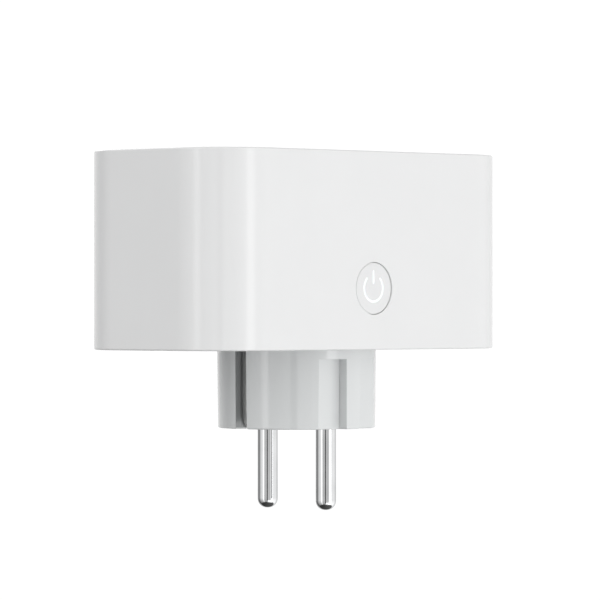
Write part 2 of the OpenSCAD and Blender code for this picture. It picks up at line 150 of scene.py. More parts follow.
# Brightness of the studio's walls by azimuth in degrees, counted from the camera, to its right.
# Dark cloth hangs beside the camera (-8 to 0), a strip light stands on either side (-50 to -43
# and 46 to 59), and a dark screen on the left (-122 to -112).
STUDIO_WALLS = (
    (-180, 1.00), (-160, 1.00), (-142, 0.72), (-122, 0.18), (-112, 0.16), (-106, 0.42),
    (-92, 0.68), (-80, 0.98), (-60, 1.14), (-53, 1.24), (-50, 2.15), (-43, 2.20), (-40, 0.82),
    (-20, 0.66), (-10, 0.78), (-8, 0.02), (0, 0.02), (2, 0.80), (20, 0.64), (30, 0.84),
    (38, 1.12), (43, 1.20), (46, 2.80), (59, 2.65), (62, 1.16), (110, 1.13), (128, 0.80),
    (150, 0.80), (180, 1.00))
BRIGHTEST = 3.0                 # the ramp's full white stands for this level
CEILING = 0.58
CEILING_FROM, CEILING_TO = 0.35, 0.85       # sines of the elevations where walls turn into ceiling
GROUND = 0.10
GROUND_FROM, GROUND_TO = -0.60, -0.74       # and where they turn into ground
BACKDROP = 1.05
OVERHEAD_BIAS = 0.15            # how much brighter the studio grows towards its top
SIDE_BIAS = -0.90               # added to it on the right of the camera, and taken off it on the left
SOFTBOX_DISTANCE = 1.2
SOFTBOXES = (                   # name, azimuth, elevation, width, height, level
    ("low_front", 26, -36, 1.0, 0.6, 0.85),
    ("high_front", -6, 42, 0.6, 0.5, 0.8),
    ("rear", -155, 36, 1.2, 0.7, 1.2))
FLOOR_HALF = 6.0
FLOOR_GAP = 0.0002              # from the ends of the pins down to the floor, in metres


def make_world():
    """White to the camera, and a studio to everything else."""
    world = bpy.data.worlds.new("studio")
    bpy.context.scene.world = world
    world.use_nodes = True
    tree = world.node_tree
    tree.nodes.clear()
    seen = add_node(tree, "LightPath").outputs["Is Camera Ray"]
    white = add_node(tree, "Background", ("Color", (1, 1, 1, 1)), ("Strength", BACKDROP))
    mix = add_node(tree, "MixShader", ("Fac", seen), (1, make_room(tree)), (2, white.outputs[0]))
    add_node(tree, "OutputWorld", ("Surface", mix.outputs[0]))


def make_room(tree):
    """The studio: walls with strip lights, an even ceiling, dark ground, and a tilt in brightness."""
    direction = add_node(tree, "TexCoord").outputs["Generated"]
    turned = add_node(tree, "VectorRotate", ("Vector", direction),
                      ("Angle", math.pi / 2 - CAMERA_AZIMUTH), rotation_type="Z_AXIS")
    around = add_node(tree, "TexGradient", ("Vector", turned.outputs[0]), gradient_type="RADIAL")
    height = add_node(tree, "SeparateXYZ", (0, direction)).outputs["Z"]
    walls = wall_ramp(tree, around.outputs["Fac"])
    upper = blend_towards(tree, walls, height, CEILING_FROM, CEILING_TO, CEILING / BRIGHTEST)
    lower = blend_towards(tree, upper, height, GROUND_FROM, GROUND_TO, GROUND / BRIGHTEST)
    strength = tilted_strength(tree, direction, height)
    return add_node(tree, "Background", ("Color", lower), ("Strength", strength)).outputs[0]


def wall_ramp(tree, around):
    walls = add_node(tree, "ValToRGB", ("Fac", around))
    stops = walls.color_ramp.elements
    while len(stops) > 1:
        stops.remove(stops[-1])
    for i, (azimuth, level) in enumerate(STUDIO_WALLS):
        stop = stops[0] if i == 0 else stops.new(1.0)
        stop.position = azimuth / 360 + 0.5
        stop.color = (*[level / BRIGHTEST] * 3, 1)
    return walls.outputs["Color"]


def blend_towards(tree, color, height, start, end, level):
    """A colour that turns into an even level as height goes from start to end."""
    share = add_node(tree, "MapRange", ("Value", height), ("From Min", start), ("From Max", end),
                     interpolation_type="SMOOTHSTEP")
    mix = add_node(tree, "Mix", ("Factor", share.outputs["Result"]), ("A", color),
                   ("B", (level, level, level, 1)), data_type="RGBA")
    return mix.outputs["Result"]


def tilted_strength(tree, direction, height):
    """The room's level, which changes with height, and more so towards the camera's right or left."""
    sideways = add_node(tree, "VectorMath", (0, direction), (1, RIGHT), operation="DOT_PRODUCT")
    bias = calculate(tree, "MULTIPLY_ADD", sideways.outputs["Value"], SIDE_BIAS, OVERHEAD_BIAS)
    tilt = calculate(tree, "MULTIPLY", bias, height)
    return calculate(tree, "MULTIPLY_ADD", tilt, BRIGHTEST, BRIGHTEST)


def softbox(name, azimuth, elevation, width, height, level):
    """A soft rectangular light that faces the object, at an azimuth counted from the camera."""
    data = bpy.data.lights.new(name, "AREA")
    data.shape = "RECTANGLE"
    data.size = width
    data.size_y = height
    data.energy = level * math.pi * width * height
    light = add_object(name, data)
    around = CAMERA_AZIMUTH + math.radians(azimuth)
    up = math.radians(elevation)
    away = Vector((math.sin(around) * math.cos(up), -math.cos(around) * math.cos(up), math.sin(up)))
    light.location = away * SOFTBOX_DISTANCE
    light.rotation_euler = away.to_track_quat("Z", "Y").to_euler()
    light.visible_camera = False


def make_floor():
    """A plain pale floor under the pins. It is clear from below, so that the underside can be seen."""
    mesh = bpy.data.meshes.new("floor")
    z = PIN_LOW.z * MM - FLOOR_GAP
    corners = [(x * FLOOR_HALF, y * FLOOR_HALF, z) for x, y in ((-1, -1), (1, -1), (1, 1), (-1, 1))]
    mesh.from_pydata(corners, [], [(0, 1, 2, 3)])
    floor = add_object("floor", mesh)
    material = bpy.data.materials.new("pale_floor")
    material.use_nodes = True
    tree = material.node_tree
    tree.nodes.clear()
    side = add_node(tree, "NewGeometry").outputs["Backfacing"]
    pale = add_node(tree, "Emission", ("Color", (1, 1, 1, 1)), ("Strength", BACKDROP))
    clear = add_node(tree, "BsdfTransparent")
    mix = add_node(tree, "MixShader", ("Fac", side), (1, pale.outputs[0]), (2, clear.outputs[0]))
    add_node(tree, "OutputMaterial", ("Surface", mix.outputs[0]))
    mesh.materials.append(material)
    floor.visible_diffuse = False
    floor.visible_glossy = False
    floor.visible_shadow = False


# ---------- materials ----------

class Surface:
    """A node material around one Principled shader, with object coordinates in metres."""

    def __init__(self, name, color, roughness, metallic=0.0, **sockets):
        self.material = bpy.data.materials.new(name)
        self.material.use_nodes = True
        self.tree = self.material.node_tree
        self.shader = self.tree.nodes["Principled BSDF"].inputs
        sockets.update(Base_Color=(*color, 1), Roughness=roughness, Metallic=metallic)
        for socket, value in sockets.items():
            self.shader[socket.replace("_", " ")].default_value = value
        self.roughness = roughness
        self.place = self.add("TexCoord").outputs["Object"]
        self.normal = None

    def add(self, kind, *inputs, **settings):
        return add_node(self.tree, kind, *inputs, **settings)

    def stretched(self, scale):
        """Object coordinates scaled by (x, y, z)."""
        return self.add("Mapping", ("Vector", self.place), ("Scale", scale)).outputs[0]

    def noise(self, scale, detail=3.0, place=None):
        node = self.add("TexNoise", ("Vector", place or self.place), ("Scale", scale),
                        ("Detail", detail), ("Roughness", 0.55))
        return node.outputs["Fac"]

    def wave(self, scale, direction, distortion=0.0):
        node = self.add("TexWave", ("Vector", self.place), ("Scale", scale),
                        ("Distortion", distortion), bands_direction=direction)
        return node.outputs["Fac"]

    def cells(self, scale):
        """The distance from the middle of each cell."""
        return self.add("TexVoronoi", ("Vector", self.place), ("Scale", scale)).outputs["Distance"]

    def tracks(self, patches, lines):
        """Parallel lines that run along X in some patches and along Y in the others."""
        patch = self.add("TexVoronoi", ("Vector", self.place), ("Scale", patches), distance="CHEBYCHEV")
        split = self.add("SeparateColor", ("Color", patch.outputs["Color"]))
        either = self.add("Mix", ("Factor", self.remap(split.outputs["Red"], 0.49, 0.51)),
                          ("A", self.wave(lines, "X")), ("B", self.wave(lines, "Y")))
        return either.outputs["Result"]

    def near(self, value, centre, distance):
        """1 where value is within distance of centre, and 0 elsewhere."""
        return calculate(self.tree, "COMPARE", value, centre, distance)

    # Mask for the painted shade on the walls of the plug's slots.
    def slot_shade_mask(self, inner, outer, half_width):
        """1 near the XZ plane at a distance from the Z axis between inner and outer, and 0 elsewhere."""
        split = self.add("SeparateXYZ", (0, self.place))
        away = self.add("VectorMath", (0, self.stretched((1, 1, 0))), operation="LENGTH")
        in_width = self.near(split.outputs["Y"], 0, half_width)
        in_depth = self.near(away.outputs["Value"], (inner + outer) / 2, (outer - inner) / 2)
        return calculate(self.tree, "MULTIPLY", in_width, in_depth)

    def remap(self, value, low, high, to_low=0.0, to_high=1.0):
        node = self.add("MapRange", ("Value", value), ("From Min", low), ("From Max", high),
                        ("To Min", to_low), ("To Max", to_high))
        return node.outputs["Result"]

    def tint(self, value, other, low=0.3, high=0.7):
        """Goes from the base colour to another one as value rises from low to high."""
        base = self.shader["Base Color"]
        before = base.links[0].from_socket if base.is_linked else tuple(base.default_value)
        mix = self.add("Mix", ("Factor", self.remap(value, low, high)), ("A", before),
                       ("B", (*other, 1)), data_type="RGBA")
        self.tree.links.new(mix.outputs["Result"], base)

    def gloss(self, value, spread):
        """Varies roughness by spread either way with value."""
        low, high = self.roughness - spread, self.roughness + spread
        self.tree.links.new(self.remap(value, 0.25, 0.75, low, high), self.shader["Roughness"])

    def relief(self, value, depth, strength=1.0):
        """Raises the surface by up to depth metres with value. Several reliefs add up."""
        node = self.add("Bump", ("Height", value), ("Strength", strength), ("Distance", depth))
        if self.normal:
            self.tree.links.new(self.normal, node.inputs["Normal"])
        self.normal = node.outputs["Normal"]
        self.tree.links.new(self.normal, self.shader["Normal"])


def shade(color, factor):
    return tuple(min(1.0, c * factor) for c in color)


def plastic(name, color, roughness, grain=9000, depth=2e-6, **sockets):
    """Injection-moulded plastic: a very fine spark-eroded grain and a slow drift in gloss."""
    s = Surface(name, color, roughness, **sockets)
    s.relief(s.noise(grain, 2.0), depth, 0.5)
    drift = s.noise(60, 2.0)
    s.gloss(drift, roughness * 0.06)
    s.tint(drift, shade(color, 0.985), 0.35, 0.75)
    return s


def metal(name, color, roughness, lines=(400, 400, 12000), depth=1.2e-6, **sockets):
    """Metal with drawing lines; lines are the noise scales along x, y and z."""
    s = Surface(name, color, roughness, 1.0, **sockets)
    drawn = s.noise(1.0, 3.0, s.stretched(lines))
    s.relief(drawn, depth, 0.6)
    s.gloss(drawn, roughness * 0.3)
    s.tint(s.noise(250, 3.0), shade(color, 0.88), 0.4, 0.8)
    return s


def plug_plastic():
    """Light grey, with painted shade that darkens the walls of the plug's slots."""
    s = plastic("light_grey_plug_plastic", (0.695, 0.710, 0.712), 0.09, IOR=1.7)
    slots = s.slot_shade_mask(SLOT_INNER_R * MM, (PLUG_R + 0.1) * MM, (SLOT_HALF + 0.11) * MM)
    # Painted shade: the slot walls are tinted dark grey where shade falls inside the slots.
    s.tint(slots, (0.35, 0.36, 0.365))
    return s


def copper_winding():
    s = Surface("enamelled_copper_winding", (0.60, 0.20, 0.06), 0.28, 0.85, Coat_Weight=0.6)
    turns = s.wave(5200, "Z", 0.4)
    s.relief(turns, 4e-5)
    # Painted shade: the grooves between the turns are tinted dark.
    s.tint(turns, (0.18, 0.045, 0.012), 0.35, 0.0)
    return s


def winding_tape():
    s = Surface("polyester_tape", (0.85, 0.60, 0.05), 0.3, Coat_Weight=0.3)
    laps = s.wave(1100, "Z", 1.5)
    s.relief(laps, 5e-5)
    s.tint(laps, (0.62, 0.38, 0.02), 0.6, 1.0)
    s.gloss(s.noise(900), 0.08)
    return s


def striped_sleeve():
    s = plastic("printed_shrink_sleeve", (0.022, 0.022, 0.03), 0.3, 700, 2e-5)
    s.tint(s.wave(150, "X"), (0.55, 0.55, 0.5), 0.965, 0.98)
    return s


def circuit_board():
    """Green lacquer over copper tracks, with tinned pads."""
    s = Surface("green_solder_mask", (0.012, 0.13, 0.05), 0.28, Coat_Weight=0.4)
    tracks = s.tracks(150, 700)
    s.tint(tracks, (0.03, 0.27, 0.10), 0.55, 0.65)
    s.relief(s.remap(tracks, 0.55, 0.65), 3e-5)
    s.relief(s.wave(1500, "X"), 4e-6)
    s.tint(s.cells(420), (0.72, 0.72, 0.68), 0.10, 0.07)
    return s


def make_plastics():
    return {
        "housing_white": plastic("white_housing_plastic", (0.79, 0.793, 0.795), 0.15, IOR=1.55),
        "socket_white": plastic("white_socket_plastic", (0.79, 0.793, 0.797), 0.25, IOR=1.5),
        "button_white": plastic("white_button_plastic", (0.78, 0.783, 0.787), 0.25, IOR=1.5),
        "plug_grey": plug_plastic(),
        "inner_plastic": plastic("natural_moulded_plastic", (0.80, 0.80, 0.77), 0.5, 3500, 8e-6),
        "shutter_plastic": plastic("ivory_shutter_plastic", (0.74, 0.72, 0.64), 0.42, 3500, 6e-6),
        "black_plastic": plastic("black_moulded_plastic", (0.018, 0.018, 0.02), 0.48, 3000, 1e-5),
        "relay_case": plastic("blue_relay_plastic", (0.02, 0.09, 0.33), 0.32, 3000, 6e-6),
        "fuse_body": plastic("glazed_ceramic", (0.78, 0.76, 0.69), 0.16, 1500, 5e-6, Coat_Weight=0.5),
        "varistor_coat": plastic("blue_epoxy_dip", (0.012, 0.08, 0.36), 0.25, 600, 3e-5,
                                 Coat_Weight=0.4),
        "film_capacitor": plastic("yellow_epoxy_box", (0.72, 0.50, 0.06), 0.33, 1500, 8e-6),
        "ferrite": plastic("sintered_ferrite", (0.045, 0.045, 0.05), 0.62, 2500, 3e-5),
        # Painted glow: the lens emits a little light though no lamp behind it is lit.
        "icon_lens": plastic("diffusing_lens_painted_glow", (0.97, 0.975, 0.98), 0.30, IOR=1.5,
                             Emission_Color=(1, 1, 1, 1), Emission_Strength=0.05,
                             Subsurface_Weight=0.15, Subsurface_Scale=0.001),
        "led_body": plastic("phosphor_epoxy", (0.93, 0.86, 0.45), 0.15, 2500, 4e-6, Coat_Weight=0.8,
                            Subsurface_Weight=0.3, Subsurface_Scale=0.0008)}


def make_metals():
    return {
        "plated_pin": metal("polished_nickel", (0.68, 0.685, 0.69), 0.06, (300, 300, 6000), 3e-7),
        "earth_spring": metal("nickel_plated_spring_steel", (0.74, 0.74, 0.73), 0.2,
                              (9000, 9000, 300), 1e-6),
        "plated_steel": metal("tin_plated_steel", (0.70, 0.71, 0.71), 0.32, (3000, 900, 900), 2e-6),
        "relay_iron": metal("soft_iron", (0.50, 0.50, 0.49), 0.34, (900, 5000, 900), 2e-6),
        "screw_steel": metal("zinc_plated_steel", (0.64, 0.65, 0.68), 0.42, (4000, 4000, 900), 2e-6),
        "contact_brass": metal("rolled_brass", (0.80, 0.58, 0.24), 0.26, (600, 9000, 600), 2e-6),
        "spring_steel": metal("drawn_spring_wire", (0.55, 0.55, 0.56), 0.25, (900, 9000, 9000), 1e-6)}


def make_materials():
    """A material for each of the record's slots."""
    surfaces = {**make_plastics(), **make_metals(), "copper_wire": copper_winding(),
                "winding_tape": winding_tape(), "capacitor_sleeve": striped_sleeve(),
                "circuit_board": circuit_board()}
    return {slot: s.material for slot, s in surfaces.items()}


MATERIALS = make_materials()


# ---------- mesh building ----------

class Solid:
    """A mesh made of rings of points. Points are in millimetres, in the row frame."""

    def __init__(self):
        self.bm = bmesh.new()

    def ring(self, points):
        return [self.bm.verts.new(Vector(p) * MM) for p in points]

    def bridge(self, a, b):
        for i in range(len(a)):
            j = (i + 1) % len(a)
            self.face((a[i], a[j], b[j], b[i]))

    def face(self, verts):
        unique = []
        for v in verts:
            if v not in unique:
                unique.append(v)
        if len(unique) > 2 and self.bm.faces.get(unique) is None:
            self.bm.faces.new(unique)

    def skin(self, rings, closed=False, ends=False):
        """Joins each ring to the next. closed joins the last to the first, ends closes both of them."""
        for a, b in zip(rings, rings[1:]):
            self.bridge(a, b)
        if closed:
            self.bridge(rings[-1], rings[0])
        if ends:
            self.face(rings[0])
            self.face(rings[-1])
        return rings

    def loft(self, outlines, closed=False):
        return self.skin([self.ring(points) for points in outlines], closed)

    def cap(self, *loops):
        """Fills a flat outline that has any number of holes."""
        edges = []
        for loop in loops:
            for v, w in zip(loop, loop[1:] + loop[:1]):
                edges.append(self.bm.edges.get((v, w)) or self.bm.edges.new((v, w)))
        bmesh.ops.triangle_fill(self.bm, edges=edges, use_beauty=True)

    def build(self, name, body, slot, node, sharp=38.0, weighted=True):
        """Makes the piece that stands for a CAD node. Edges that turn by sharp degrees stay hard."""
        bm = self.bm
        bmesh.ops.remove_doubles(bm, verts=bm.verts, dist=1e-7)
        bmesh.ops.dissolve_degenerate(bm, edges=bm.edges, dist=1e-7)
        bmesh.ops.recalc_face_normals(bm, faces=bm.faces)
        limit = math.radians(sharp)
        for f in bm.faces:
            f.smooth = True
        for e in bm.edges:
            e.smooth = e.calc_face_angle(0.0) < limit
        mesh = bpy.data.meshes.new(name)
        bm.to_mesh(mesh)
        bm.free()
        mesh.materials.append(MATERIALS[slot])
        piece = add_object(name, mesh)
        if weighted:
            even = piece.modifiers.new("even_normals", "WEIGHTED_NORMAL")
            even.keep_sharp = True
            even.weight = 80
        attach(piece, body)
        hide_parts(node)
        return piece


def circle(r, z, segments, centre=(0, 0)):
    steps = [TURN * i / segments for i in range(segments)]
    return [(centre[0] + r * math.cos(a), centre[1] + r * math.sin(a), z) for a in steps]


def arc(centre, r, start, end, steps):
    """Points (x, y) on an arc, angles in degrees, both ends included."""
    angles = [math.radians(start + (end - start) * i / steps) for i in range(steps + 1)]
    return [(centre[0] + r * math.cos(a), centre[1] + r * math.sin(a)) for a in angles]


def spread(a, b, steps):
    """Numbers from a to b, both ends included."""
    return [a + (b - a) * i / steps for i in range(steps + 1)]


CORNER_STEPS = 20
SIDE_STEPS = 6
TUBE_SEGMENTS = 32


def rounded_outline(w, d, r, front_columns=()):
    """A rounded rectangle, anticlockwise from the front left, with given columns along the front."""
    x, y = w / 2 - r, d / 2 - r
    front = front_columns or spread(-x, x, SIDE_STEPS)[1:-1]
    points = arc((-x, -y), r, 180, 270, CORNER_STEPS)
    points += [(c, -d / 2) for c in front]
    points += arc((x, -y), r, 270, 360, CORNER_STEPS)
    points += [(w / 2, v) for v in spread(-y, y, SIDE_STEPS)[1:-1]]
    points += arc((x, y), r, 0, 90, CORNER_STEPS)
    points += [(v, d / 2) for v in spread(x, -x, SIDE_STEPS)[1:-1]]
    points += arc((-x, y), r, 90, 180, CORNER_STEPS)
    points += [(-w / 2, v) for v in spread(y, -y, SIDE_STEPS)[1:-1]]
    return points


def tube(solid, centre, r0, r1, z0, z1):
    """An upright tube with softened rims."""
    soft = 0.2
    profile = [(r0, z0), (r1, z0), (r1, z1 - soft), (r1 - soft, z1), (r0 + soft, z1), (r0, z1 - soft)]
    solid.loft([circle(r, z, TUBE_SEGMENTS, centre) for r, z in profile], closed=True)


# ---------- housing ----------

PATCH_STEPS = 16            # the wall is a grid of this many quads each way round the button's hole
PATCH_MARGIN = 2.2
ROUND_START = math.radians(225)     # round rings start where the square patch has its first corner
HOLE_RIM = 0.14
BOSS_R, BOSS_HOLE_R, BOSS_TOP = 3.2, 1.3, 42        # bosses for the screws
BUTTON_RING_DEPTH = 2.4     # ring behind the front wall that guides the button
RING_SEGMENTS = 64
LEDGE_HALF = 9              # half the width of the ledges that carry the top panel


def make_housing():
    """The shell as one skin: outer wall, both rims, inner wall and the button's hole."""
    w, d = (HOUSING_HIGH - HOUSING_LOW).xy
    half = HOLE_R + PATCH_MARGIN
    columns = spread(BUTTON_X - half, BUTTON_X + half, PATCH_STEPS)
    rows = spread(BUTTON_Z - half, BUTTON_Z + half, PATCH_STEPS)
    profile, outer_row, inner_row = housing_profile(rows)
    solid = Solid()
    outlines = [[(x, y, z) for x, y in rounded_outline(w - 2 * i, d - 2 * i, CORNER_R - i, columns)]
                for i, z in profile]
    made = solid.loft(outlines, closed=True)
    patch = range(PATCH_STEPS + 1)
    first_column = CORNER_STEPS + 1
    outer = [[made[outer_row + r][first_column + c] for c in patch] for r in patch]
    inner = [[made[inner_row + PATCH_STEPS - r][first_column + c] for c in patch] for r in patch]
    line_button_hole(solid, outer, inner)
    for x in (-1, 1):
        for y in (-1, 1):
            tube(solid, (x * SCREW_X, y * SCREW_Y), BOSS_HOLE_R, BOSS_R, BASE_LOW.z + 2.1, BOSS_TOP)
    button_ring(solid, HOLE_R + 1.25, BUTTON_R + 2.6)
    for side in (-1, 1):
        ledge(solid, side)
    solid.build("housing_shell_moulded", "housing", "housing_white", "housing_shell")


def housing_profile(rows):
    """(inset, z) pairs up the outer wall and down the inner one, and where rows start in each."""
    z0, z1 = HOUSING_LOW.z, HOUSING_HIGH.z
    lip = 0.3               # rounding of the inner edges
    profile = arc((EDGE_R, z0 + EDGE_R), EDGE_R, 270, 180, 4)
    outer_row = len(profile)
    profile += [(0, z) for z in rows]
    profile += [(0, z) for z in spread(rows[-1], z1 - EDGE_R, 3)[1:-1]]
    profile += arc((EDGE_R, z1 - EDGE_R), EDGE_R, 180, 90, 4)
    profile += arc((WALL - lip, z1 - lip), lip, 90, 0, 3)
    profile += [(WALL, z) for z in spread(z1 - lip, rows[-1], 3)[1:-1]]
    inner_row = len(profile)
    profile += [(WALL, z) for z in reversed(rows)]
    profile += arc((WALL - lip, z0 + lip), lip, 0, -90, 3)
    return profile, outer_row, inner_row


def line_button_hole(solid, outer, inner):
    """Opens both faces of the front wall for the button and joins them, with a rounded outer rim."""
    front = HOUSING_LOW.y
    outer_edge = open_round(solid, outer, HOLE_R + HOLE_RIM, front)
    inner_edge = open_round(solid, inner, HOLE_R, front + WALL)
    rim = [round_at(solid, len(outer_edge), r, y)
           for r, y in arc((HOLE_R + HOLE_RIM, front + HOLE_RIM), HOLE_RIM, 270, 180, 3)[1:]]
    solid.skin([outer_edge, *rim, inner_edge])


def open_round(solid, grid, r, y):
    """Takes a square patch of quads out of a wall and leaves a round hole of radius r in its place."""
    n = len(grid) - 1
    bm = solid.bm
    inside = {v for row in grid[1:-1] for v in row[1:-1]}
    faces = {f for v in inside for f in v.link_faces}
    bmesh.ops.delete(bm, geom=list(faces), context="FACES_ONLY")
    bmesh.ops.delete(bm, geom=list(inside), context="VERTS")
    border = [grid[0][i] for i in range(n)]
    border += [grid[i][n] for i in range(n)]
    border += [grid[n][i] for i in range(n, 0, -1)]
    border += [grid[i][0] for i in range(n, 0, -1)]
    middle, edge = [ring_between(solid, border, r, y, share) for share in (0.5, 1.0)]
    solid.skin([border, middle, edge])
    return edge


def ring_between(solid, border, r, y, share):
    """A ring between a square border and the round hole: share 1 is the hole itself."""
    points = []
    for i, v in enumerate(border):
        a = ROUND_START + TURN * i / len(border)
        x, z = BUTTON_X + r * math.cos(a), BUTTON_Z + r * math.sin(a)
        points.append((v.co.x / MM * (1 - share) + x * share, y, v.co.z / MM * (1 - share) + z * share))
    return solid.ring(points)


def round_at(solid, count, r, y):
    """A ring round the button's axis."""
    angles = [ROUND_START + TURN * i / count for i in range(count)]
    return solid.ring([(BUTTON_X + r * math.cos(a), y, BUTTON_Z + r * math.sin(a)) for a in angles])


def button_ring(solid, r0, r1):
    y0 = HOUSING_LOW.y + WALL
    y1 = y0 + BUTTON_RING_DEPTH
    corners = ((r0, y0), (r1, y0), (r1, y1), (r0, y1))
    solid.skin([round_at(solid, RING_SEGMENTS, r, y) for r, y in corners], closed=True)


def ledge(solid, side):
    """The rib on an end wall that carries the top panel."""
    x1 = side * (HOUSING_HIGH.x - WALL)
    x0 = x1 - side * 1.2
    z1 = PANEL_LOW.z - 0.03
    points = [(x1, z1 - 2), (x0, z1 - 0.8), (x0, z1), (x1, z1)]
    sections = [solid.ring([(x, y, z) for x, z in points]) for y in spread(-LEDGE_HALF, LEDGE_HALF, 4)]
    solid.skin(sections, ends=True)


# ---------- outlines with slots on the X sides and keys on the Y sides ----------

def keyed_quarter(r, flat, key, slot, floor, steps=14):
    """A quarter of an outline, from a slot's middle on +X round to a key's middle on +Y."""
    start, end = math.degrees(math.asin(slot / r)), math.degrees(math.asin(flat / r))
    points = [(floor, 0), (floor, slot * 0.6), (floor, slot), ((floor + r) / 2, slot)]
    points += arc((0, 0), r, start, end, steps)
    points += [(x, flat) for x in spread(points[-1][0], key, 5)[1:]]
    top = math.sqrt(r * r - key * key)
    points += [(key, (flat + top) / 2), (key, top)]
    points += [(x, math.sqrt(r * r - x * x)) for x in (key * 0.6, key * 0.2, 0)]
    return points


def trimmed(quarter, r, flats, slots):
    """Fills a quarter's flats or slots out to the round outline, if it isn't to have them."""
    if not flats:
        quarter = quarter[:4] + [(x, math.sqrt(max(0.0, r * r - x * x))) for x, y in quarter[4:]]
    if not slots:
        quarter = [(math.sqrt(r * r - y * y), y) for x, y in quarter[:4]] + quarter[4:]
    return quarter


def whole(quarter, z, centre_x=0.0):
    """The outline that a quarter stands for. All have as many points, so they join one to one."""
    half = quarter + [(-x, y) for x, y in reversed(quarter[:-1])]
    points = half + [(x, -y) for x, y in reversed(half[1:-1])]
    return [(centre_x + x, y, z) for x, y in points]


def hole(solid, centre, profile, segments=40):
    """The wall of a round hole, from profile's (radius, z) pairs. Gives its rings."""
    return solid.loft([circle(r, z, segments, centre) for r, z in profile])


# ---------- plug body ----------

PLUG_DRAFT = 0.2        # how much narrower the plug is at its end face
PLUG_EDGE = 0.4
HOOK_DEPTH = 1.6        # pocket in the slot's floor for the earth clip's hooked end
HOOK_LOW = 1.6
HOOK_HIGH = 3.9
PIN_HOLE_R = 1.93
EARTH_HOLE_X = 10.0
EARTH_HOLE = ((3.3, 0), (3.0, 0.3), (3.0, 0.8), (3.15, 0.8), (3.15, FACE_T))        # (radius, z)
FLANGE_T = 1.4
FLANGE_SOFT = 0.3
CAVITY_R, CAVITY_X, CAVITY_Y = 16.4, 13.1, 14


def plug_outline(z, inset=None, flats=True, slots=True):
    inset = PLUG_DRAFT * max(0.0, 1 - z / COLLAR_Z) if inset is None else inset
    pocket = HOOK_DEPTH * min(1.0, max(0.0, (HOOK_HIGH - z) / (HOOK_HIGH - HOOK_LOW)))
    r = PLUG_R - inset
    quarter = keyed_quarter(r, PLUG_FLAT_Y - inset, RIB_HALF - inset, SLOT_HALF + inset / 2,
                            SLOT_FLOOR_X - pocket)
    return whole(trimmed(quarter, r, flats, slots), z)


def make_plug():
    """The plug body as one skin, from its end face up to the flange, and down again inside."""
    flange_r, top = PLUG_HIGH.x, PLUG_HIGH.z
    flange_z = top - FLANGE_T
    solid = Solid()
    levels = [plug_outline(z, PLUG_DRAFT + i)
              for i, z in arc((PLUG_EDGE, PLUG_EDGE), PLUG_EDGE, 270, 180, 4)]
    levels += [plug_outline(z) for z in (HOOK_LOW, HOOK_HIGH, 8, 12, COLLAR_Z)]
    levels += [plug_outline(z, flats=False) for z in (COLLAR_Z, BASE_LOW.z)]
    levels += [plug_outline(z, flats=False, slots=False) for z in (BASE_LOW.z, flange_z)]
    rings = solid.loft(levels)
    flange = ((flange_r, flange_z), (flange_r, top - FLANGE_SOFT), (flange_r - FLANGE_SOFT, top))
    rim = [solid.ring([(x * r / PLUG_R, y * r / PLUG_R, z) for x, y, _ in levels[-1]])
           for r, z in flange]
    inner = [solid.ring(cavity_outline(len(rings[0]), z)) for z in (top, FACE_T)]
    solid.skin([rings[-1], *rim, *inner])
    holes = [hole(solid, (0, y), ((PIN_HOLE_R, 0), (PIN_HOLE_R, FACE_T))) for y in (-PIN_Y, PIN_Y)]
    holes.append(hole(solid, (EARTH_HOLE_X, 0), EARTH_HOLE))
    solid.cap(rings[0], *[h[0] for h in holes])
    solid.cap(inner[1], *[h[-1] for h in holes])
    solid.build("plug_body_moulded", "housing", "plug_grey", "plug_body", sharp=28)


def cavity_outline(count, z):
    """The inside of the plug: round, cut off flat at the sides and beside the slots."""
    return [(max(-CAVITY_X, min(CAVITY_X, x)), max(-CAVITY_Y, min(CAVITY_Y, y)), z)
            for x, y, z in circle(CAVITY_R, z, count)]


# ---------- bent sheet metal ----------

def bend(path, cut, steps=6):
    """Rounds the inner corners of a path of (x, z) points, starting cut before each corner."""
    points = [Vector(path[0])]
    for before, corner, after in zip(path, path[1:], path[2:]):
        corner = Vector(corner)
        one, two = Vector(before) - corner, Vector(after) - corner
        start = corner + one.normalized() * min(cut, one.length * 0.45)
        end = corner + two.normalized() * min(cut, two.length * 0.45)
        for i in range(steps + 1):
            t = i / steps
            points.append(start * (1 - t) ** 2 + corner * 2 * t * (1 - t) + end * t ** 2)
    points.append(Vector(path[-1]))
    return points


def add_strip(solid, path, thickness, width, side=1, centre_x=0.0):
    """A strip of sheet along a path in the XZ plane, with softened edges. side mirrors it in X."""
    soft = 0.1
    t, w = thickness / 2, width / 2
    section = [(t, w - soft), (t - soft, w), (soft - t, w), (-t, w - soft),
               (-t, soft - w), (soft - t, -w), (t - soft, -w), (t, soft - w)]
    rings = []
    for i, point in enumerate(path):
        ahead, behind = path[min(i + 1, len(path) - 1)], path[max(i - 1, 0)]
        along = (ahead - behind).normalized()
        across = Vector((along.y, -along.x))
        rings.append(solid.ring([(centre_x + side * (point.x + across.x * a), b, point.y + across.y * a)
                                 for a, b in section]))
    solid.skin(rings, ends=True)


def inset_corners(corners, inset):
    """Moves the edges of an outline of right angles inwards. The corners run anticlockwise."""
    moved = []
    for before, corner, after in zip(corners[-1:] + corners[:-1], corners, corners[1:] + corners[:1]):
        x, y = corner
        for start, end in ((before, corner), (corner, after)):
            along = (Vector(end) - Vector(start)).normalized()
            x, y = x - along.y * inset, y + along.x * inset
        moved.append((x, y))
    return moved


def add_sheet(solid, corners, low, high):
    """A flat sheet cut to an outline of right angles, with softened upper and lower edges."""
    soft = 0.08
    levels = ((low, soft), (low + soft, 0), (high - soft, 0), (high, soft))
    rings = [solid.ring([(x, y, z) for x, y in inset_corners(corners, inset)]) for z, inset in levels]
    solid.skin(rings, ends=True)


